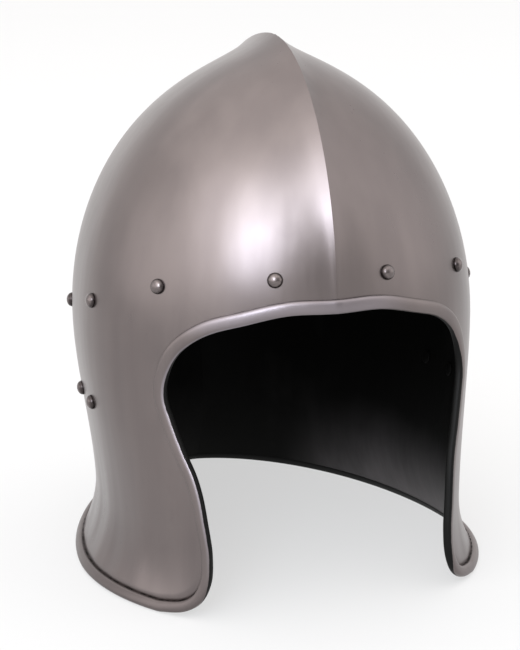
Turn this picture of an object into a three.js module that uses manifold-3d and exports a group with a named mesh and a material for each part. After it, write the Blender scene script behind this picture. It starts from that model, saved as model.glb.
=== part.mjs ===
import * as THREE from 'three';
import { mergeVertices } from 'three/addons/utils/BufferGeometryUtils.js';
import Module from 'manifold-3d';

// Open-faced helmet of plate steel. Millimetres, +Z up, the face opening looks along -Y.
// The helmet stands on its rolled lower edge, which lies in one level plane.

// Sizes of the bowl
const halfWidth = 105;
const frontReach = 99;
const backReach = 158;
const springHeight = 132;
const domeRise = 133;
const plateThickness = 1.6;

// Keel that runs over the bowl from the brow to the nape
const keelTop = 15;
const keelBrow = 2;
const keelNape = 1;
const keelSpread = 20;
const keelCurve = 0.8;
const keelTipRound = 0.5;
const keelFade = 1.5;

// Narrowing to the neck and the flare below it
const sideWaist = 9.8;
const backWaist = 10;
const cheekSweep = 20.5;
const waistShare = 0.75;
const sideFlare = 12.9;
const backFlare = 22.5;
const frontTuck = 4.5;
const sideFlareStart = 0.71;
const backFlareStart = 0.55;
const neckPinch = 0.15;

// Face opening, given by the middle line of its rolled edge
const browHeight = 155.5;
const openingAngle = 49.3;
const openingOutline = [
  // share of openingAngle, share of browHeight
  [0, 1],
  [0.27, 1],
  [0.51, 0.971],
  [0.716, 0.937],
  [0.884, 0.874],
  [0.984, 0.783],
  [1.014, 0.704],
  [0.986, 0.62],
  [0.94, 0.523],
  [0.902, 0.46],
  [0.882, 0.399],
  [0.869, 0.306],
  [0.85, 0.21],
  [0.836, 0.12],
  [0.862, 0.062],
  [0.925, 0.034],
];
const rimJoinAngle = 52;

// Rolled edge: narrow along the rim, and wider up the face opening to the brow
const rimHalfHeight = 2.8;
const browHalfHeight = 3.5;
const beadWidenFrom = 20;
const beadWidenTo = 120;
const beadHalfThickness = 2.3;
const beadInside = 0.5;
const beadSides = 8;
const beadTurnHeight = 14;
const faceEdgeSteps = 33;
const lowerEdgeSteps = 30;

// Rivets: the row for the lining goes round the bowl, two more hold the chin strap on each side
const rivetHeadRadius = 3.8;
const rivetHeadHeight = 3;
const rivetHeadProfile = [
  // share of rivetHeadRadius, share of rivetHeadHeight
  [0, 1],
  [0.5, 0.86],
  [0.87, 0.5],
  [1, 0],
];
const rivetShankRadius = 1.5;
const rivetEndHeight = 1.2;
const boreLength = 10;
const rivetSides = 8;
const seatGap = 0.3;
const shankGap = 0.3;
const browRivetHeight = 169;
const browRivetAngle = 16.5;
const liningRow = [
  // share of browRivetAngle, share of browRivetHeight
  [1, 1],
  [3.06, 0.97],
  [4.85, 0.886],
  [6.64, 0.803],
  [8.3, 0.757],
  [9.99, 0.728],
];
const strapRivetHeight = 93;
const strapRivetAngle = 87.5;
const strapRivetStep = 12;

// Facets
const crossAngles = [0, 1.6, 3.8, 7, 11, 16, 22, 29, 36, 43, 50, 57, 64, 71, 78, 84.5, 90];
const domeSteps = 24;
const skirtShares = [0.16, 0.32, 0.46, 0.58, 0.68, 0.77, 0.85, 0.93, 1];
const weldTolerance = 0.02;
const mergeDistance = 0.0001;
const probeStep = 0.4;
const cutDepth = 8;

const steelColor = 0x8f8585;
const rivetColor = 0x7c7272;
const outerSkin = 0;
const innerSkin = -plateThickness;
const degree = Math.PI / 180;

const wasm = await Module();
wasm.setup();

function clamp(value, low, high) {
  return Math.min(high, Math.max(low, value));
}

function smoothStep(value) {
  const share = clamp(value, 0, 1);
  return share * share * (3 - 2 * share);
}

// Height of the keel above the bowl: turn is 0 at the brow, 1 at the crown and 2 at the nape
function keelHeight(across, turn) {
  const end = turn <= 1 ? keelBrow : keelNape;
  const rise = Math.sin(0.5 * Math.PI * clamp(turn <= 1 ? turn : 2 - turn, 0, 1)) ** keelFade;
  const away = Math.hypot(across, keelTipRound) - keelTipRound;
  return (end + (keelTop - end) * rise) * Math.exp(-((away / keelSpread) ** keelCurve));
}

function flareShare(drop, start) {
  return Math.max(0, (drop - start) / (1 - start)) ** 2;
}

// Half sizes of the level section at one drop below the spring line
function sectionSizes(drop, skin) {
  const waist = smoothStep(drop / waistShare);
  const side = halfWidth - sideWaist * waist + sideFlare * flareShare(drop, sideFlareStart);
  const front = frontReach + cheekSweep * waist - frontTuck * flareShare(drop, sideFlareStart);
  const back = backReach - backWaist * waist + backFlare * flareShare(drop, backFlareStart);
  const pinch = 1 + neckPinch * flareShare(drop, backFlareStart);
  return { side: side + skin, front: front + skin, back: back + skin, pinch };
}

// Point of the skirt at a plan angle (0 front, 180 back) and a drop (0 spring line, 1 floor)
function skirtPoint(angle, drop, skin) {
  const sizes = sectionSizes(drop, skin);
  const forward = Math.cos(angle * degree);
  const sideways = Math.sin(angle * degree);
  const power = forward >= 0 ? 1 : sizes.pinch;
  const along = Math.sign(forward) * Math.abs(forward) ** power;
  const across = sizes.side * Math.sign(sideways) * Math.abs(sideways) ** power;
  const reach = forward >= 0 ? sizes.front : sizes.back;
  const keel = keelHeight(across, forward >= 0 ? 0 : 2);
  return new THREE.Vector3(across, -along * (reach + keel), springHeight * (1 - drop));
}

// Point of the dome: turn angle 0 front, 90 crown, 180 back, and cross angle from the keel
function domePoint(turnAngle, crossAngle, skin) {
  const forward = Math.cos(turnAngle * degree);
  const upward = Math.sin(turnAngle * degree);
  const sizes = sectionSizes(0, skin);
  const reach = forward >= 0 ? sizes.front : sizes.back;
  const radius = 1 / Math.hypot(forward / reach, upward / (domeRise + skin));
  const across = sizes.side * Math.sin(crossAngle * degree);
  const inPlane = Math.cos(crossAngle * degree) * (radius + keelHeight(across, turnAngle / 90));
  return new THREE.Vector3(across, -forward * inPlane, springHeight + upward * inPlane);
}

// Point of the outer skin at a plan angle and a height
function skinPoint(angle, height, skin) {
  if (height <= springHeight) return skirtPoint(angle, 1 - height / springHeight, skin);
  const lift = (height - springHeight) / (domeRise + skin);
  const sizes = sectionSizes(0, skin);
  const shrink = Math.sqrt(1 - lift * lift);
  const across = sizes.side * shrink * Math.sin(angle * degree);
  const along = Math.cos(angle * degree) * shrink;
  const depth = -along * (along >= 0 ? sizes.front : sizes.back);
  const radius = Math.hypot(depth, height - springHeight);
  const turnAngle = Math.atan2(height - springHeight, -depth) / degree;
  const crossShare = Math.cos(Math.asin(clamp(across / sizes.side, -1, 1)));
  const longer = 1 + (crossShare * keelHeight(across, turnAngle / 90)) / radius;
  return new THREE.Vector3(across, depth * longer, springHeight + (height - springHeight) * longer);
}

function skinNormal(angle, height) {
  const round = skinPoint(angle + probeStep, height, outerSkin)
    .sub(skinPoint(angle - probeStep, height, outerSkin));
  const up = skinPoint(angle, height + probeStep, outerSkin)
    .sub(skinPoint(angle, height - probeStep, outerSkin));
  return round.cross(up).normalize();
}

function toSolid(geometry) {
  const plain = new THREE.BufferGeometry();
  plain.setAttribute('position', geometry.getAttribute('position').clone());
  plain.setIndex(geometry.getIndex());
  const merged = mergeVertices(plain, mergeDistance);
  const positions = merged.getAttribute('position').array;
  const triangles = [];
  const index = merged.getIndex().array;
  for (let i = 0; i < index.length; i += 3) {
    const [a, b, c] = [index[i], index[i + 1], index[i + 2]];
    if (a !== b && b !== c && c !== a) triangles.push(a, b, c);
  }
  return new wasm.Manifold(new wasm.Mesh({
    numProp: 3,
    vertProperties: new Float32Array(positions),
    triVerts: new Uint32Array(triangles),
  }));
}

function toGeometry(solid) {
  const mesh = solid.getMesh();
  const geometry = new THREE.BufferGeometry();
  geometry.setAttribute('position', new THREE.BufferAttribute(new Float32Array(mesh.vertProperties), 3));
  geometry.setIndex(new THREE.BufferAttribute(new Uint32Array(mesh.triVerts), 1));
  geometry.computeVertexNormals();
  return geometry;
}

function gridGeometry(rows, closeEnds) {
  const width = rows[0].length;
  const positions = [];
  for (const row of rows) for (const point of row) positions.push(point.x, point.y, point.z);
  const index = [];
  for (let i = 0; i + 1 < rows.length; i += 1) {
    for (let j = 0; j + 1 < width; j += 1) {
      const corner = i * width + j;
      index.push(corner, corner + 1, corner + width + 1, corner, corner + width + 1, corner + width);
    }
  }
  closeEnds(positions, index, width, rows.length);
  const geometry = new THREE.BufferGeometry();
  geometry.setAttribute('position', new THREE.Float32BufferAttribute(positions, 3));
  geometry.setIndex(index);
  return geometry;
}

// Solid lump under one skin, closed by a level bottom below the floor
function lump(skin, depth) {
  const angles = crossAngles.slice(1).reverse().map((angle) => -angle).concat(crossAngles);
  const drops = [...skirtShares, 1 + depth / springHeight];
  const rows = [];
  for (const drop of [...drops].reverse()) rows.push(angles.map((angle) => skirtPoint(angle, drop, skin)));
  for (let step = 0; step <= domeSteps; step += 1) {
    rows.push(angles.map((angle) => domePoint((180 * step) / domeSteps, angle, skin)));
  }
  for (const drop of drops) rows.push(angles.map((angle) => skirtPoint(180 - angle, drop, skin)));
  return toSolid(gridGeometry(rows, (positions, index, width, count) => {
    const centre = positions.length / 3;
    positions.push(0, 0, -depth);
    const last = (count - 1) * width;
    for (let j = 0; j + 1 < width; j += 1) {
      index.push(j + 1, j, centre);
      index.push(last + j, last + j + 1, centre);
    }
  }));
}

// Middle line of the rolled edge on one side, from the brow round the cheek to the nape
function edgeLine() {
  const corners = openingOutline.map(([turn, rise]) => [turn * openingAngle, rise * browHeight]);
  corners.push([rimJoinAngle, rimHalfHeight]);
  const spline = new THREE.CatmullRomCurve3(
    corners.map(([angle, height]) => skinPoint(angle, height, outerSkin)),
    false,
    'centripetal',
  );
  const planAngle = (point) => {
    const drop = clamp(1 - point.z / springHeight, 0, 1);
    const lift = clamp((point.z - springHeight) / domeRise, 0, 1);
    const side = sectionSizes(drop, outerSkin).side * Math.sqrt(1 - lift * lift);
    return Math.asin(clamp(point.x / side, -1, 1)) / degree;
  };
  const line = [];
  for (let step = 0; step < faceEdgeSteps; step += 1) {
    const point = spline.getPointAt(step / faceEdgeSteps);
    line.push([planAngle(point), Math.max(rimHalfHeight, point.z)]);
  }
  for (let step = 0; step <= lowerEdgeSteps; step += 1) {
    line.push([rimJoinAngle + ((180 - rimJoinAngle) * step) / lowerEdgeSteps, rimHalfHeight]);
  }
  return line;
}

// Prism across the helmet that keeps the plate above the lower edge and behind the face edge
function platePrism(line) {
  const far = 2 * backReach;
  const shape = new THREE.Shape();
  const side = line.filter(([angle]) => angle <= 90).map(([angle, height]) => skinPoint(angle, height, outerSkin));
  shape.moveTo(-far, browHeight);
  for (const point of side) shape.lineTo(point.y, point.z);
  shape.lineTo(far, rimHalfHeight);
  shape.lineTo(far, 2 * far);
  shape.lineTo(-far, 2 * far);
  const geometry = new THREE.ExtrudeGeometry(shape, { depth: 2 * far, bevelEnabled: false });
  geometry.translate(0, 0, -far);
  const turned = new THREE.Matrix4().makeBasis(
    new THREE.Vector3(0, 1, 0),
    new THREE.Vector3(0, 0, 1),
    new THREE.Vector3(1, 0, 0),
  );
  geometry.applyMatrix4(turned);
  return toSolid(geometry);
}

// Rolled edge: one closed ring of eight-sided sections
function beadRing(line) {
  const mirrored = line.slice(1, -1).reverse().map(([angle, height]) => [-angle, height]);
  const loop = [...line, ...mirrored];
  const points = loop.map(([angle, height]) => skinPoint(angle, height, outerSkin));
  const shift = beadHalfThickness - plateThickness - beadInside;
  const flat = Math.cos(Math.PI / beadSides);
  const rows = loop.map(([angle, height], i) => {
    const before = points[(i + points.length - 1) % points.length];
    const after = points[(i + 1) % points.length];
    const along = after.clone().sub(before).normalize();
    const level = 1 - smoothStep((height - rimHalfHeight) / beadTurnHeight);
    const widen = smoothStep((height - beadWidenFrom) / (beadWidenTo - beadWidenFrom));
    const halfHeight = rimHalfHeight + (browHalfHeight - rimHalfHeight) * widen;
    const normal = skinNormal(angle, height);
    normal.z *= 1 - level;
    const out = normal.addScaledVector(along, -normal.dot(along)).normalize();
    const edgeward = new THREE.Vector3().crossVectors(out, along).normalize();
    const row = [];
    for (let k = 0; k <= beadSides; k += 1) {
      const turn = -((k + 0.5) / beadSides) * 2 * Math.PI;
      const offOut = shift + (beadHalfThickness / flat) * Math.cos(turn);
      const offEdge = (halfHeight / flat) * Math.sin(turn);
      row.push(points[i].clone().addScaledVector(out, offOut).addScaledVector(edgeward, offEdge));
    }
    return row;
  });
  rows.push(rows[0]);
  return toSolid(gridGeometry(rows, () => {}));
}

function rivetPlaces() {
  const places = [];
  for (const side of [1, -1]) {
    const letter = side > 0 ? 'left' : 'right';
    liningRow.forEach(([turn, rise], i) => {
      const angle = side * turn * browRivetAngle;
      places.push({ name: `lining_rivet_${letter}_${i + 1}`, angle, height: rise * browRivetHeight });
    });
    for (let i = 0; i < 2; i += 1) {
      const angle = side * (strapRivetAngle + i * strapRivetStep);
      places.push({ name: `strap_rivet_${letter}_${i + 1}`, angle, height: strapRivetHeight });
    }
  }
  return places;
}

function placeOn(geometry, place) {
  const out = skinNormal(place.angle, place.height);
  const turn = new THREE.Quaternion().setFromUnitVectors(new THREE.Vector3(0, 1, 0), out);
  geometry.applyQuaternion(turn);
  const seat = skinPoint(place.angle, place.height, outerSkin);
  geometry.translate(seat.x, seat.y, seat.z);
  return geometry;
}

// How far the plate reaches in and out along a rivet, under the whole of its head
function plateSpan(plate, place) {
  const probe = new THREE.CylinderGeometry(rivetHeadRadius, rivetHeadRadius, boreLength, rivetSides);
  const out = skinNormal(place.angle, place.height);
  const seat = skinPoint(place.angle, place.height, outerSkin);
  const values = plate.intersect(toSolid(placeOn(probe, place))).getMesh().vertProperties;
  const levels = [];
  for (let i = 0; i < values.length; i += 3) {
    levels.push(new THREE.Vector3(values[i], values[i + 1], values[i + 2]).sub(seat).dot(out));
  }
  return { low: Math.min(...levels), high: Math.max(...levels) };
}

function rivetGeometry(span) {
  const seat = span.high + seatGap;
  const inside = span.low - seatGap;
  const profile = [
    ...rivetHeadProfile.map(([out, up]) => [out * rivetHeadRadius, seat + up * rivetHeadHeight]),
    [rivetShankRadius, seat],
    [rivetShankRadius, inside],
    [rivetHeadRadius, inside],
    [rivetHeadRadius, inside - rivetEndHeight],
    [0, inside - rivetEndHeight],
  ];
  const points = profile.map(([radius, height]) => new THREE.Vector2(radius, height)).reverse();
  return new THREE.LatheGeometry(points, rivetSides);
}

const edge = edgeLine();
const places = rivetPlaces();
let skull = lump(outerSkin, cutDepth).subtract(lump(innerSkin, 2 * cutDepth));
skull = skull.intersect(platePrism(edge));
skull = skull.add(beadRing(edge));
const spans = places.map((place) => plateSpan(skull, place));
for (const place of places) {
  const boreRadius = rivetShankRadius + shankGap;
  const bore = new THREE.CylinderGeometry(boreRadius, boreRadius, boreLength, rivetSides);
  skull = skull.subtract(toSolid(placeOn(bore, place)));
}
skull = skull.simplify(weldTolerance);

const group = new THREE.Group();
const skullMesh = new THREE.Mesh(
  toGeometry(skull),
  new THREE.MeshStandardMaterial({ color: steelColor, roughness: 0.28, metalness: 1 }),
);
skullMesh.name = 'skull';
group.add(skullMesh);
places.forEach((place, i) => {
  const rivet = toSolid(placeOn(rivetGeometry(spans[i]), place));
  const mesh = new THREE.Mesh(
    toGeometry(rivet),
    new THREE.MeshStandardMaterial({ color: rivetColor, roughness: 0.35, metalness: 1 }),
  );
  mesh.name = place.name;
  group.add(mesh);
});

// The origin lies under the middle of the box
skullMesh.geometry.computeBoundingBox();
const box = skullMesh.geometry.boundingBox;
const middle = box.getCenter(new THREE.Vector3());
for (const mesh of group.children) mesh.geometry.translate(-middle.x, -middle.y, -box.min.z);

export default group;
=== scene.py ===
import bpy
import bmesh
import math
from mathutils import Matrix, Vector, kdtree


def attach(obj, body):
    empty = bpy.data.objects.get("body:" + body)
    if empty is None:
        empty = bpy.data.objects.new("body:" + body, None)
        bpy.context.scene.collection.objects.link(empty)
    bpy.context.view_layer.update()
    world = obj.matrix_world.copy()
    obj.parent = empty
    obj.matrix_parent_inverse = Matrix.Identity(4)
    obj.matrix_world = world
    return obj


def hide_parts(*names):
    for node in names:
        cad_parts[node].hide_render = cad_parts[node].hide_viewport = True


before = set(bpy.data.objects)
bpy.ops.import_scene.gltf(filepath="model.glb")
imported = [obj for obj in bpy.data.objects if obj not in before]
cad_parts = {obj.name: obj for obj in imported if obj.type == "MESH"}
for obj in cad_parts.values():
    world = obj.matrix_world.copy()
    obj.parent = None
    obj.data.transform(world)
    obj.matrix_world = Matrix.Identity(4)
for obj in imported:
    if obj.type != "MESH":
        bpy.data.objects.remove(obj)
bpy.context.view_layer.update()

mm = 0.001

# shape of the bowl, in millimetres, as in the CAD
bowl = {
    "halfWidth": 105.0,
    "frontReach": 99.0,
    "backReach": 158.0,
    "springHeight": 132.0,
    "domeRise": 133.0,
    "originBack": 34.29,     # how far the origin lies behind the widest section
    "keelTop": 15.0,
    "keelBrow": 2.0,
    "keelNape": 1.0,
    "keelSpread": 20.0,
    "keelCurve": 0.8,
    "keelTipRound": 0.5,
    "keelFade": 1.5,
    "sideWaist": 9.8,
    "backWaist": 10.0,
    "cheekSweep": 20.5,
    "waistShare": 0.75,
    "sideFlare": 12.9,
    "backFlare": 22.5,
    "frontTuck": 4.5,
    "sideFlareStart": 0.71,
    "backFlareStart": 0.55,
    "neckPinch": 0.15,
}

# middle line of the rolled edge: share of the opening's angle, share of the brow's height
faceEdge = {
    "browHeight": 155.5,
    "openingAngle": 49.3,
    "rimJoinAngle": 52.0,
    "rimHeight": 2.8,        # the roll stands on the floor, so this is also its half height there
    "browHalf": 3.5,         # half height of the roll at the brow
    "widenFrom": 20.0,
    "widenTo": 120.0,
    "outline": [
        (0, 1), (0.27, 1), (0.51, 0.971), (0.716, 0.937), (0.884, 0.874), (0.984, 0.783),
        (1.014, 0.704), (0.986, 0.62), (0.94, 0.523), (0.902, 0.46), (0.882, 0.399),
        (0.869, 0.306), (0.85, 0.21), (0.836, 0.12), (0.862, 0.062), (0.925, 0.034),
    ],
}


# how finely the lines are stepped, and distances in metres under which points are one
fineness = {"edgeCurve": 24, "rim": 300, "dome": 400, "nape": 140, "probe": 0.4}
weld = {"points": 1e-6, "mirror": 2e-5}


def clamp(value, low, high):
    return min(high, max(low, value))


def smoothStep(value):
    share = clamp(value, 0.0, 1.0)
    return share * share * (3 - 2 * share)


def keelHeight(across, turn):    # turn: 0 brow, 1 crown, 2 nape
    end = bowl["keelBrow"] if turn <= 1 else bowl["keelNape"]
    rise = math.sin(0.5 * math.pi * clamp(turn if turn <= 1 else 2 - turn, 0, 1)) ** bowl["keelFade"]
    away = math.hypot(across, bowl["keelTipRound"]) - bowl["keelTipRound"]
    away = (away / bowl["keelSpread"]) ** bowl["keelCurve"]
    return (end + (bowl["keelTop"] - end) * rise) * math.exp(-away)


def flareShare(drop, start):
    return max(0.0, (drop - start) / (1 - start)) ** 2


def sectionSizes(drop):    # half sizes of the level section below the spring line
    waist = smoothStep(drop / bowl["waistShare"])
    sideFlare = flareShare(drop, bowl["sideFlareStart"])
    side = bowl["halfWidth"] - bowl["sideWaist"] * waist + bowl["sideFlare"] * sideFlare
    front = bowl["frontReach"] + bowl["cheekSweep"] * waist - bowl["frontTuck"] * sideFlare
    back = bowl["backReach"] - bowl["backWaist"] * waist
    back += bowl["backFlare"] * flareShare(drop, bowl["backFlareStart"])
    pinch = 1 + bowl["neckPinch"] * flareShare(drop, bowl["backFlareStart"])
    return side, front, back, pinch


def sidePlace(angle, height):    # plan angle and height to depth and height in the side view
    drop = clamp(1 - height / bowl["springHeight"], 0, 1.2)
    lift = clamp((height - bowl["springHeight"]) / bowl["domeRise"], 0, 1)
    side, front, back, pinch = sectionSizes(drop)
    along = math.cos(math.radians(angle)) * math.sqrt(1 - lift * lift)
    return Vector((-along * front if along >= 0 else back * (-along) ** pinch, height))


def shellPoint(depth, height):    # side view to the outer skin, keel included, wearer's left half
    if height > bowl["springHeight"]:
        up = height - bowl["springHeight"]
        reach = bowl["frontReach"] if depth < 0 else bowl["backReach"]
        share = min(1.0, math.hypot(depth / reach, up / bowl["domeRise"]))
        across = bowl["halfWidth"] * math.sqrt(1 - share * share)
        turn = math.atan2(up, -depth) / (0.5 * math.pi)
        way = Vector((depth, up)).normalized()
    else:
        side, front, back, pinch = sectionSizes(1 - height / bowl["springHeight"])
        power = 1 if depth < 0 else pinch
        share = min(1.0, abs(depth) / (front if depth < 0 else back))
        across = side * math.sqrt(1 - share ** (2 / power)) ** power
        turn = 0 if depth < 0 else 2
        way = Vector((math.copysign(1.0, depth), 0))
    rise = keelHeight(across, turn) * share
    return Vector((across, depth + way.x * rise, height + way.y * rise))


def skinPoint(angle, height):    # plan angle, 0 front, 180 back, negative on the wearer's right
    angle = (angle + 180) % 360 - 180
    place = shellPoint(*sidePlace(abs(angle), height))
    if angle < 0:
        place.x = -place.x
    return place


def skinNormal(angle, height):
    probe = fineness["probe"]
    around = skinPoint(angle + probe, height) - skinPoint(angle - probe, height)
    upward = skinPoint(angle, height + probe) - skinPoint(angle, height - probe)
    return around.cross(upward).normalized()


def rollHalf(height):    # half height of the roll where it passes this height
    widen = smoothStep((height - faceEdge["widenFrom"]) / (faceEdge["widenTo"] - faceEdge["widenFrom"]))
    return faceEdge["rimHeight"] + (faceEdge["browHalf"] - faceEdge["rimHeight"]) * widen


def toFrame(point):    # millimetres about the widest section to metres in the shared frame
    return Vector((point.x, point.y - bowl["originBack"], point.z)) * mm


def curveThrough(points, steps):    # centripetal curve through the points
    ends = [points[0] * 2 - points[1]] + points + [points[-1] * 2 - points[-2]]
    result = []
    for i in range(1, len(ends) - 2):
        four = ends[i - 1:i + 3]
        knots = [0.0]
        for a, b in zip(four, four[1:]):
            knots.append(knots[-1] + math.sqrt((b - a).length))
        for step in range(steps):
            t = knots[1] + (knots[2] - knots[1]) * step / steps
            layer = list(four)
            for gap in (1, 2):
                layer = [
                    layer[k] * ((knots[k + gap] - t) / (knots[k + gap] - knots[k]))
                    + layer[k + 1] * ((t - knots[k]) / (knots[k + gap] - knots[k]))
                    for k in range(4 - gap)
                ]
            part = (t - knots[1]) / (knots[2] - knots[1])    # between the two inner points
            result.append(layer[0] * (1 - part) + layer[1] * part)
    result.append(points[-1].copy())
    return result


def evenly(points, lengths, share):    # value of a polyline at a share of its length
    target = share * lengths[-1]
    low, high = 0, len(lengths) - 1
    while high - low > 1:
        middle = (low + high) // 2
        if lengths[middle] <= target:
            low = middle
        else:
            high = middle
    part = (target - lengths[low]) / max(1e-9, lengths[high] - lengths[low])
    return points[low].lerp(points[high], clamp(part, 0, 1))


def runLengths(points):
    total = [0.0]
    for a, b in zip(points, points[1:]):
        total.append(total[-1] + (b - a).length)
    return total


# the free edge of one half, as plan angle and height, from the brow round the cheek to the nape
edgeTurns = [
    Vector((turn * faceEdge["openingAngle"], rise * faceEdge["browHeight"]))
    for turn, rise in faceEdge["outline"]
] + [Vector((faceEdge["rimJoinAngle"], faceEdge["rimHeight"]))]
edgeTurns = curveThrough(edgeTurns, fineness["edgeCurve"])
for step in range(1, fineness["rim"] + 1):
    share = step / fineness["rim"]
    turn = faceEdge["rimJoinAngle"] * (1 - share) + 180 * share
    edgeTurns.append(Vector((turn, faceEdge["rimHeight"])))
edgeLengths = runLengths([skinPoint(*place) for place in edgeTurns])
edgeSide = [sidePlace(*place) for place in edgeTurns]

# the keel line of the bowl under the keel itself, from the brow over the crown to the nape
keelSide = []
browLift = faceEdge["browHeight"] - bowl["springHeight"]
browDepth = -edgeSide[0].x
browTurn = math.atan2(browLift, browDepth)
for step in range(fineness["dome"] + 1):
    turn = browTurn + (math.pi - browTurn) * step / fineness["dome"]
    reach = bowl["frontReach"] if turn < 0.5 * math.pi else bowl["backReach"]
    radius = 1 / math.hypot(math.cos(turn) / reach, math.sin(turn) / bowl["domeRise"])
    up = bowl["springHeight"] + radius * math.sin(turn)
    keelSide.append(Vector((-radius * math.cos(turn), up)))
for step in range(1, fineness["nape"] + 1):
    share = step / fineness["nape"]
    height = bowl["springHeight"] + (faceEdge["rimHeight"] - bowl["springHeight"]) * share
    keelSide.append(Vector((sectionSizes(1 - height / bowl["springHeight"])[2], height)))
keelLengths = runLengths(keelSide)
print("outline ready")


def newObject(name, bm, materials, body="root"):
    mesh = bpy.data.meshes.new(name)
    bm.to_mesh(mesh)
    bm.free()
    for material in materials:
        mesh.materials.append(material)
    piece = bpy.data.objects.new(name, mesh)
    bpy.context.scene.collection.objects.link(piece)
    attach(piece, body)
    return piece


# materials
class Shade:    # one socket of a node tree, with arithmetic
    def __init__(self, tree, socket):
        self.tree = tree
        self.socket = socket

    def math(self, operation, *others):
        node = self.tree.nodes.new("ShaderNodeMath")
        node.operation = operation
        for slot, value in enumerate((self,) + others):
            if isinstance(value, Shade):
                self.tree.links.new(value.socket, node.inputs[slot])
            else:
                node.inputs[slot].default_value = value
        return Shade(self.tree, node.outputs[0])

    def __add__(self, other):
        return self.math("ADD", other)

    def __sub__(self, other):
        return self.math("SUBTRACT", other)

    def __mul__(self, other):
        return self.math("MULTIPLY", other)

    __radd__ = __add__
    __rmul__ = __mul__

    def __rsub__(self, other):
        return (self * -1.0).math("ADD", other)

    def between(self, low, high):    # smooth step from 0 at low to 1 at high
        node = self.tree.nodes.new("ShaderNodeMapRange")
        node.interpolation_type = "SMOOTHSTEP"
        self.tree.links.new(self.socket, node.inputs["Value"])
        node.inputs["From Min"].default_value = low
        node.inputs["From Max"].default_value = high
        return Shade(self.tree, node.outputs["Result"])


class Finish:    # the node tree of one material, or of the room
    def __init__(self, block, shader="Principled BSDF"):
        self.block = block
        block.use_nodes = True
        self.tree = block.node_tree
        self.shader = self.tree.nodes[shader]

    def node(self, kind, settings=None, inputs=None, output=0):
        node = self.tree.nodes.new(kind)
        for key, value in (settings or {}).items():
            setattr(node, key, value)
        for key, value in (inputs or {}).items():
            if isinstance(value, Shade):
                self.tree.links.new(value.socket, node.inputs[key])
            else:
                node.inputs[key].default_value = value
        return Shade(self.tree, node.outputs[output])

    def place(self, scale=(1, 1, 1)):
        coords = self.node("ShaderNodeTexCoord", output="Object")
        return self.node("ShaderNodeMapping", inputs={"Vector": coords, "Scale": scale})

    def axis(self, letter):    # one object coordinate, in metres
        return self.node("ShaderNodeSeparateXYZ", inputs={"Vector": self.place()}, output=letter)

    def noise(self, scale, detail=3.0, roughness=0.5, stretch=(1, 1, 1), distortion=0.0):
        return self.node("ShaderNodeTexNoise", inputs={
            "Vector": self.place(stretch), "Scale": scale, "Detail": detail,
            "Roughness": roughness, "Distortion": distortion})

    def attribute(self, name):
        return self.node("ShaderNodeAttribute", {"attribute_name": name}, output="Fac")

    def mix(self, share, first, second):
        return self.node("ShaderNodeMix", {"data_type": "RGBA"},
                         {0: share, 6: first, 7: second}, output=2)

    def feed(self, **sockets):
        for name, value in sockets.items():
            slot = self.shader.inputs[name.replace("_", " ")]
            if isinstance(value, Shade):
                self.tree.links.new(value.socket, slot)
            else:
                slot.default_value = value

    def bump(self, height, distance, strength=1.0):
        return self.node("ShaderNodeBump", inputs={
            "Height": height, "Distance": distance, "Strength": strength})


steel = {
    "light": (0.184, 0.158, 0.154, 1),
    "dark": (0.150, 0.129, 0.127, 1),
    # painted highlight colour for the rolled edge
    "paintedHighlight": (0.42, 0.39, 0.45, 1),
    "stain": (0.130, 0.110, 0.108, 1),
    "rivet": (0.085, 0.075, 0.080, 1),
    # painted shade colour for creases, the near cheek's underside and rivet feet
    "paintedShade": (0.030, 0.025, 0.025, 1),
    "roughness": 0.295,
}
paint = {
    "black": (0.0035, 0.0035, 0.0033, 1),
    "wearAndHighlight": (0.0075, 0.0072, 0.0070, 1),
    # thin brushed paint, also standing in for painted floor light low on the inner wall
    "thinAndPaintedLight": (0.105, 0.097, 0.099, 1),
    "roughness": 0.5,
    "shine": 0.035,
    "edgeShine": 0.12,
}


def steelLook(finish):    # polished plate: clouds of tone, fine polishing marks, soft dents
    clouds = finish.noise(9.0, 4.0, 0.55)
    streaks = finish.noise(62.0, 1.5, 0.5, (1, 1, 0.13))
    fine = finish.noise(420.0, 2.0, 0.6, (1, 1, 0.12))
    hammer = finish.noise(26.0, 1.0, 0.4)
    tone = (clouds - 0.5) * 0.9 + 0.5 + (fine - 0.5) * 0.10 + (streaks - 0.5) * 0.5
    colour = finish.mix(tone.between(0.25, 0.75), steel["dark"], steel["light"])
    stains = finish.noise(34.0, 5.0, 0.62, distortion=0.6).between(0.60, 0.78) * 0.30
    colour = finish.mix(stains, colour, steel["stain"])
    rough = (clouds - 0.5) * 0.10 + (fine - 0.5) * 0.06 + steel["roughness"]
    relief = hammer * 1.4 + streaks * 1.3 + fine * 0.006
    return colour, rough, relief


def plateFinish():
    finish = Finish(bpy.data.materials.new("plateSteel"))
    colour, rough, relief = steelLook(finish)
    away = finish.attribute("edgeShare")
    wander = (finish.noise(60.0, 2.0) - 0.5) * 0.1
    # painted shade along the crease where the plate meets the rolled edge
    line = (away + wander).between(1.08, 0.98)
    colour = finish.mix(line * 0.2, colour, steel["paintedShade"])
    rise = finish.axis("Z")
    flutes = finish.noise(60.0, 0.0, 0.5, (1, 1, 0.1))    # soft upright dents where the plate flares
    relief = relief + flutes * rise.between(0.08, 0.02) * 5.5
    finish.feed(Base_Color=colour, Roughness=rough + line * 0.2, Metallic=1.0)
    finish.feed(Normal=finish.bump(relief, 0.00035, 0.6))
    return finish.block


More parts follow.
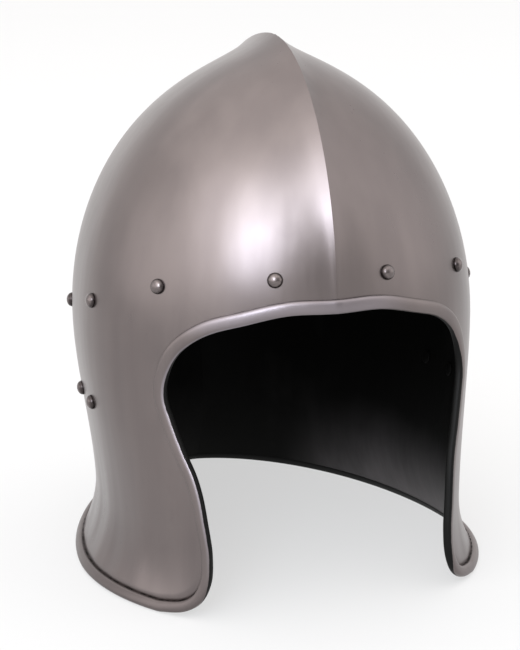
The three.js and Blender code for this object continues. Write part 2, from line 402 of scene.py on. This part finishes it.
def insideFinish():
    finish = Finish(bpy.data.materials.new("insidePaint"))
    streaks = finish.noise(70.0, 3.0, 0.6, (1, 1, 0.2))
    patches = finish.noise(16.0, 4.0, 0.6)
    wearAndHighlight = (patches * 0.7 + streaks * 0.3).between(0.50, 0.72)
    colour = finish.mix(wearAndHighlight, paint["black"], paint["wearAndHighlight"])
    rise = finish.axis("Z")
    beside = finish.axis("X")
    low = (rise + (patches - 0.5) * 0.02).between(0.058, -0.005)
    thinAndPaintedLight = low * beside.between(0.045, 0.1)    # brushed thin paint near the rim on the wearer's left, also painted floor light low on the wall
    colour = finish.mix(thinAndPaintedLight * (streaks * 1.1 + 0.35), colour, paint["thinAndPaintedLight"])
    rough = (streaks - 0.5) * 0.22 + paint["roughness"]
    finish.feed(Base_Color=colour, Roughness=rough, Metallic=thinAndPaintedLight * 0.6, Specular_IOR_Level=paint["shine"])
    finish.feed(Normal=finish.bump(streaks + patches * 2.0, 0.0004, 0.5))
    return finish.block


def edgeFinish():    # the rolled edge: steel outside, black paint lapping round from the inside
    finish = Finish(bpy.data.materials.new("edgeSteel"))
    colour, rough, relief = steelLook(finish)
    turn = finish.attribute("sectionTurn")
    start = finish.attribute("paintStart")
    ragged = (finish.noise(150.0, 3.0, 0.6) - 0.5) * 12.0 + (finish.noise(600.0, 2.0) - 0.5) * 5.0
    black = (turn - start + ragged).between(-4.0, 4.0)
    beside = finish.axis("X")
    rise = finish.axis("Z")
    right = beside.between(-0.02, -0.06)
    # painted highlight along the near cheek's roll, just short of where the paint begins
    wearAndHighlight = (turn - start).between(-40.0, -14.0) * right * rise.between(0.012, 0.06) * 0.3
    # painted highlight on the brow roll near the keel
    brow = rise.between(0.140, 0.150) * beside.between(0.045, 0.015) * 0.22
    # painted shade in the crease where the roll meets the plate
    creaseShade = turn.between(-66.0, -78.0)
    colour = finish.mix((wearAndHighlight + brow) * (1 - black), colour, steel["paintedHighlight"])
    # painted shade low on the near cheek's roll, added to the crease shade
    colour = finish.mix(right * rise.between(0.03, 0.005) * 0.2 + creaseShade * 0.15, colour, steel["paintedShade"])
    colour = finish.mix(black, colour, paint["black"])
    rough = (rough + 0.08) * (1 - black) + black * paint["roughness"]
    finish.feed(Base_Color=colour, Roughness=rough, Metallic=1 - black, Specular_IOR_Level=paint["edgeShine"])
    finish.feed(Normal=finish.bump(relief + black * 0.5, 0.0003, 0.6))
    return finish.block


def rivetFinish():
    finish = Finish(bpy.data.materials.new("rivetSteel"))
    colour, rough, relief = steelLook(finish)
    grain = finish.noise(900.0, 2.0)
    footShade = (finish.attribute("headShare") + (grain - 0.5) * 0.2).between(0.62, 1.0)
    colour = finish.mix(grain.between(0.35, 0.75) * 0.3, colour, steel["rivet"])
    colour = finish.mix(footShade * 0.85, colour, steel["paintedShade"])    # painted shade where the head meets the plate
    finish.feed(Base_Color=colour, Roughness=rough - 0.06, Metallic=1.0)
    finish.feed(Normal=finish.bump(relief + grain * 0.3, 0.0002, 0.6))
    return finish.block


plateSteel = plateFinish()
insidePaint = insideFinish()
edgeSteel = edgeFinish()
rivetSteel = rivetFinish()
print("finishes ready")

# the plate
plate = {
    "across": 64, "along": 250, "thickness": 1.6, "fan": 0.08,
    "pull": 0.6, "heart": (10.0, 120.0),    # the grid lines bow towards this point of the side view
}


def plateGrid(u, v):    # u runs from brow to nape, v from the free edge up to the keel
    low = evenly(edgeSide, edgeLengths, u)
    high = evenly(keelSide, keelLengths, clamp(u + plate["fan"] * math.sin(math.pi * u), 0, 1))
    middle = (low + high) / 2
    middle = middle.lerp(Vector(plate["heart"]), plate["pull"] * math.sin(math.pi * u))
    w = math.sin(0.5 * math.pi * v)
    return low * (1 - w) ** 2 + middle * (2 * w * (1 - w)) + high * w * w


def makePlate():
    bm = bmesh.new()
    bmesh.ops.create_grid(bm, x_segments=plate["along"], y_segments=plate["across"], size=0.5)
    away = bm.verts.layers.float.new("edgeShare")
    tree = kdtree.KDTree(len(edgeTurns))
    for index, turn in enumerate(edgeTurns):
        tree.insert(skinPoint(*turn), index)
    tree.balance()
    for vert in bm.verts:
        u, v = clamp(vert.co.x + 0.5, 0, 1), clamp(vert.co.y + 0.5, 0, 1)
        side = plateGrid(u, v)
        point = shellPoint(side.x, side.y)
        if v > 1 - weld["points"]:
            point.x = 0.0
        vert[away] = tree.find(point)[2] / rollHalf(side.y)
        vert.co = toFrame(point)
    bmesh.ops.remove_doubles(bm, verts=bm.verts, dist=weld["points"])
    everything = bm.verts[:] + bm.edges[:] + bm.faces[:]
    bmesh.ops.mirror(bm, geom=everything, matrix=Matrix(), merge_dist=weld["mirror"], axis="X")
    bmesh.ops.recalc_face_normals(bm, faces=bm.faces)
    for edge in bm.edges:
        edge.smooth = not all(abs(vert.co.x) < weld["points"] for vert in edge.verts)
    for face in bm.faces:
        face.smooth = True
    piece = newObject("skullPlate", bm, [plateSteel, insidePaint])
    wall = piece.modifiers.new("wall", "SOLIDIFY")
    wall.thickness = plate["thickness"] * mm
    wall.offset = -1.0
    wall.material_offset = 1
    wall.material_offset_rim = 1
    return piece


skullPlate = makePlate()
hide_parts("skull")
print("plate ready")

# the rolled edge
roll = {
    "along": 560, "around": 28, "halfThickness": 2.3, "inside": 0.5,
    "square": 0.7, "browPaint": 76.0, "rimPaint": 100.0,
    "cheekPaint": {"left": 20.0, "right": 46.0},    # lapped further round on the wearer's left
    "browFrom": 100.0, "browOver": 40.0, "tipBelow": 22.0, "tipOver": 16.0, "rimLift": 0.5,
}


def paintStart(angle, height):    # where the black paint begins, in degrees round the section
    if height < faceEdge["rimHeight"] + roll["rimLift"]:
        return roll["rimPaint"]
    brow = smoothStep((height - roll["browFrom"]) / roll["browOver"])
    tip = smoothStep((roll["tipBelow"] - height) / roll["tipOver"])
    side = "left" if angle > 0 else "right"
    cheek = roll["cheekPaint"][side] * (1 - brow) + roll["browPaint"] * brow
    return cheek * (1 - tip) + roll["rimPaint"] * tip


def makeRoll():
    bm = bmesh.new()
    bmesh.ops.create_grid(bm, x_segments=roll["along"], y_segments=roll["around"], size=0.5)
    turnLayer = bm.verts.layers.float.new("sectionTurn")
    startLayer = bm.verts.layers.float.new("paintStart")
    stations = []
    for step in range(roll["along"]):
        share = 2 * step / roll["along"]
        place = evenly(edgeTurns, edgeLengths, share if share <= 1 else 2 - share)
        angle = place.x if share <= 1 else -place.x
        stations.append((angle, max(place.y, faceEdge["rimHeight"]), skinPoint(angle, place.y)))
    frames = []
    for step, (angle, height, point) in enumerate(stations):
        ahead = stations[(step + 1) % len(stations)][2] - stations[step - 1][2]
        ahead.normalize()
        out = skinNormal(angle, height)
        out = (out - ahead * out.dot(ahead)).normalized()
        edgeward = ahead.cross(out).normalized()
        frames.append((point, out, edgeward, rollHalf(height), paintStart(angle, height)))
    shift = roll["halfThickness"] - plate["thickness"] - roll["inside"]
    for vert in bm.verts:
        station = round((vert.co.x + 0.5) * roll["along"]) % roll["along"]
        turn = round((vert.co.y + 0.5) * roll["around"]) / roll["around"] * 360 - 90
        point, out, edgeward, half, start = frames[station]
        cosine, sine = math.cos(math.radians(turn)), math.sin(math.radians(turn))
        offOut = shift + roll["halfThickness"] * math.copysign(abs(cosine) ** roll["square"], cosine)
        offEdge = half * math.copysign(abs(sine) ** roll["square"], sine)
        vert[turnLayer] = turn
        vert[startLayer] = start
        vert.co = toFrame(point + out * offOut + edgeward * offEdge)
    bmesh.ops.remove_doubles(bm, verts=bm.verts, dist=weld["points"])
    bmesh.ops.recalc_face_normals(bm, faces=bm.faces)
    for face in bm.faces:
        face.smooth = True
    return newObject("rolledEdge", bm, [edgeSteel])


rolledEdge = makeRoll()
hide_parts("skull")    # plate and roll are one piece in the CAD
print("rolled edge ready")

# rivets
rivet = {
    "headRadius": 3.85, "headHeight": 3.1, "headFoot": 0.18, "seatDepth": 0.1, "domePower": 0.9,
    "shankRadius": 1.5, "endHeight": 1.2, "around": 32, "domeSteps": 8,
    "browHeight": 169.0, "browAngle": 16.5, "strapHeight": 93.0, "strapAngle": 87.5, "strapStep": 12.0,
    "liningRow": [(1, 1), (3.06, 0.97), (4.85, 0.886), (6.64, 0.803), (8.3, 0.757), (9.99, 0.728)],
}


def rivetPlaces():
    places = {}
    for sign, side in ((1, "left"), (-1, "right")):
        for index, (turn, rise) in enumerate(rivet["liningRow"], 1):
            angle, height = sign * turn * rivet["browAngle"], rise * rivet["browHeight"]
            places[f"lining_rivet_{side}_{index}"] = (angle, height)
        for index in (1, 2):
            angle = sign * (rivet["strapAngle"] + (index - 1) * rivet["strapStep"])
            places[f"strap_rivet_{side}_{index}"] = (angle, rivet["strapHeight"])
    return places


def makeRivet(node, angle, height):
    bm = bmesh.new()
    radius, tall, shank = rivet["headRadius"], rivet["headHeight"], rivet["shankRadius"]
    wall, seat, end = plate["thickness"], rivet["seatDepth"], rivet["endHeight"]
    line = [(0.0, tall)]
    for step in range(1, rivet["domeSteps"]):
        turn = 0.5 * math.pi * step / rivet["domeSteps"]
        line.append((radius * math.sin(turn), tall * math.cos(turn) ** rivet["domePower"]))
    line += [(radius, rivet["headFoot"]), (radius * 0.97, -seat), (shank, -seat), (shank, -wall - seat)]
    line += [(radius, -wall - seat), (radius * 0.96, -wall - end * 0.8)]
    line += [(radius * 0.8, -wall - end), (0.0, -wall - end)]
    outward = bm.verts.layers.float.new("headShare")
    verts = [bm.verts.new((r * mm, 0, z * mm)) for r, z in line]
    edges = [bm.edges.new(pair) for pair in zip(verts, verts[1:])]
    bmesh.ops.spin(bm, geom=verts + edges, cent=(0, 0, 0), axis=(0, 0, 1), angle=2 * math.pi,
                   steps=rivet["around"], use_merge=True)
    bmesh.ops.remove_doubles(bm, verts=bm.verts, dist=weld["points"])
    bmesh.ops.recalc_face_normals(bm, faces=bm.faces)
    for vert in bm.verts:
        vert[outward] = math.hypot(vert.co.x, vert.co.y) / (radius * mm)
    for face in bm.faces:
        face.smooth = True
        face.material_index = 1 if face.calc_center_median().z < -0.5 * wall * mm else 0
    turnTo = skinNormal(angle, height).to_track_quat("Z", "Y").to_matrix().to_4x4()
    place = Matrix.Translation(toFrame(skinPoint(angle, height))) @ turnTo
    bmesh.ops.transform(bm, matrix=place, verts=bm.verts)
    piece = newObject("fine_" + node, bm, [rivetSteel, insidePaint])
    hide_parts(node)


for node, (angle, height) in rivetPlaces().items():
    makeRivet(node, angle, height)
print("rivets ready")

# floor, light and camera
studio = {
    "floorSize": 60.0, "floorColour": (0.21, 0.21, 0.21, 1), "floorShade": (0.18, 0.18, 0.18, 1),
    "floorGlow": 0.6,
    "room": (1.0, 0.985, 0.98, 1), "roomStrength": 1.15,
    "patches": [
        # direction from the front, height in degrees, spread in degrees, strength added
        (-80, 12, 45, 0.40),
        (-52, 26, 42, 0.55),
        (-45, 62, 50, 0.43),
        (70, 18, 42, 0.58),
        (22, 0, 46, -0.65),
        (-98, 4, 30, 0.45),
    ],
    "boxes": [
        # name, place, aim, width, height, watts, colour
        ("key", (-1.09, -1.98, 1.03), (0, 0, 0.2), 0.65, 0.75, 12.0, (0.78, 0.86, 1.0)),
        ("upper key", (-1.05, -1.72, 1.44), (0, 0, 0.2), 1.05, 0.95, 11.0, (0.84, 0.91, 1.0)),
        ("halo", (-2.0, -2.2, 1.9), (0, 0, 0.2), 2.6, 2.4, 20.0, (0.92, 0.94, 1.0)),
        ("ceiling", (0.0, 0.0, 3.0), (0, 0, 0.1), 6.0, 6.0, 60.0, (1.0, 0.97, 0.93)),
    ],
}


def makeFloor():
    finish = Finish(bpy.data.materials.new("paleFloor"))
    grain = finish.noise(3.0, 2.0)
    colour = finish.mix(grain * 0.1, studio["floorColour"], studio["floorShade"])
    finish.feed(Base_Color=colour, Roughness=0.9)
    finish.feed(Emission_Color=(1, 1, 1, 1), Emission_Strength=studio["floorGlow"])
    bm = bmesh.new()
    bmesh.ops.create_grid(bm, x_segments=1, y_segments=1, size=0.5 * studio["floorSize"])
    mesh = bpy.data.meshes.new("floor")
    bm.to_mesh(mesh)
    bm.free()
    mesh.materials.append(finish.block)
    floor = bpy.data.objects.new("floor", mesh)
    bpy.context.scene.collection.objects.link(floor)


def makeLights():
    for name, place, aim, width, height, watts, colour in studio["boxes"]:
        lamp = bpy.data.lights.new(name, "AREA")
        lamp.shape = "RECTANGLE"
        lamp.size, lamp.size_y, lamp.energy, lamp.color = width, height, watts, colour
        box = bpy.data.objects.new(name, lamp)
        box.location = place
        box.rotation_euler = (Vector(aim) - Vector(place)).to_track_quat("-Z", "Y").to_euler()
        bpy.context.scene.collection.objects.link(box)


def makeRoom():    # pale walls, a little brighter beside the helmet and darker behind the camera
    world = bpy.data.worlds.new("room")
    finish = Finish(world, "Background")
    way = finish.node("ShaderNodeTexCoord", output="Generated")
    strength = studio["roomStrength"]
    for turn, lift, spread, gain in studio["patches"]:
        turn, lift = math.radians(turn), math.radians(lift)
        middle = (math.sin(turn) * math.cos(lift), -math.cos(turn) * math.cos(lift), math.sin(lift))
        near = finish.node("ShaderNodeVectorMath", {"operation": "DOT_PRODUCT"},
                           {0: way, 1: middle}, output="Value")
        strength = near.between(math.cos(math.radians(spread)), 1.0) * gain + strength
    seen = finish.node("ShaderNodeLightPath", output="Is Camera Ray")
    strength = strength * (1 - seen) + seen * studio["roomStrength"]
    finish.feed(Color=studio["room"], Strength=strength)
    bpy.context.scene.world = world


view = {
    "place": (-0.28179, -0.92791, 0.34360), "aim": (-0.00892, -0.03696, 0.12636),
    "roll": 0.64, "lens": 99.46, "sensor": 36.0,
}


def makeCamera():
    camera = bpy.data.cameras.new("camera")
    camera.lens = view["lens"]
    camera.sensor_width = view["sensor"]
    holder = bpy.data.objects.new("camera", camera)
    look = (Vector(view["aim"]) - Vector(view["place"])).to_track_quat("-Z", "Y").to_matrix().to_4x4()
    turn = Matrix.Rotation(math.radians(-view["roll"]), 4, "Z")
    holder.matrix_world = Matrix.Translation(view["place"]) @ look @ turn
    bpy.context.scene.collection.objects.link(holder)
    bpy.context.scene.camera = holder


makeFloor()
makeLights()
makeRoom()
makeCamera()
bpy.context.scene.view_settings.view_transform = "Standard"
print("studio ready")
